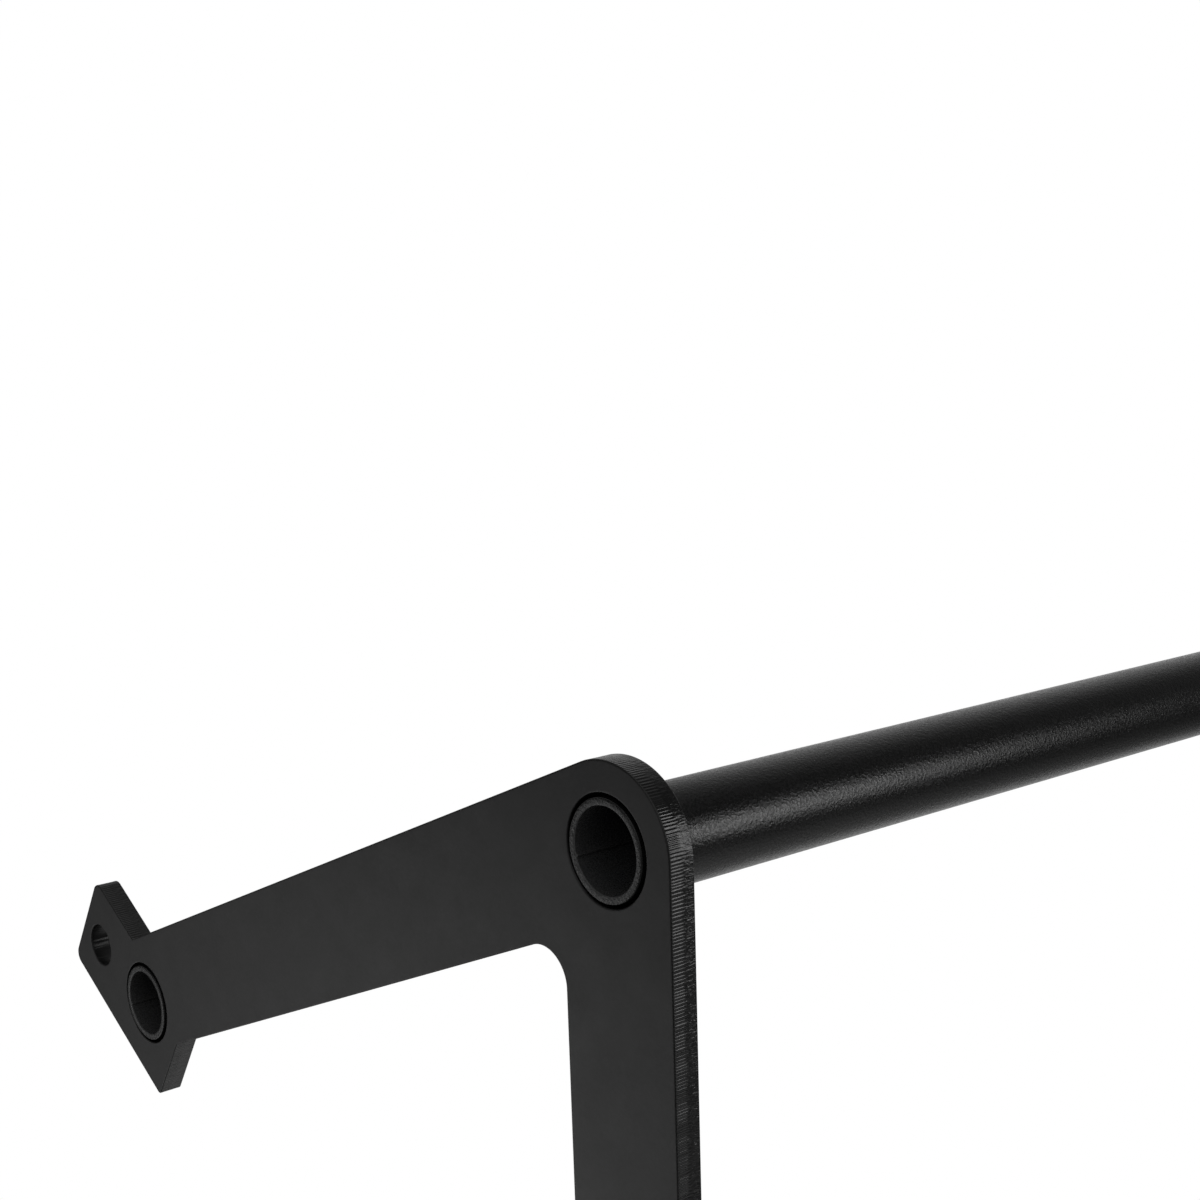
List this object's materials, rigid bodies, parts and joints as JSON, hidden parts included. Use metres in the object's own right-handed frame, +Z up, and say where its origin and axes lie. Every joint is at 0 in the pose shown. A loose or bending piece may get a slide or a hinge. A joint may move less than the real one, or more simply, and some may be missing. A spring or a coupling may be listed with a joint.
{
  "type": "pull up bar",
  "caption": "Bolt-on welded steel pull up bar: V-shaped side brackets carry a round grip bar at the apex and cross bars at the feet.",
  "frame": {"origin": "middle of the mounting face that the feet's long edges lie on, halfway between the side plates and halfway between the upper and lower feet", "axes": "+X along the bars from the left plate to the right plate, +Y from the grip bar towards the mounting face, +Z up from the lower feet to the upper feet"},
  "size_m": [1.201, 0.3436, 0.5],
  "materials": {
    "plate_coating": "satin black powder coat, smooth faces, laser-cut edges with fine striations under the coat",
    "bar_coating": "fine-textured satin black powder coat",
    "weld_coating": "rippled weld bead under satin black powder coat"
  },
  "bodies": {
    "root": {"left_side_plate": "plate_coating", "right_side_plate": "plate_coating", "grip_bar": "bar_coating", "upper_cross_bar": "bar_coating", "lower_cross_bar": "bar_coating", "grip_bar_weld_left": "weld_coating", "grip_bar_weld_right": "weld_coating", "upper_cross_bar_weld_left": "weld_coating", "upper_cross_bar_weld_right": "weld_coating", "lower_cross_bar_weld_left": "weld_coating", "lower_cross_bar_weld_right": "weld_coating"}
  },
  "joints": []
}
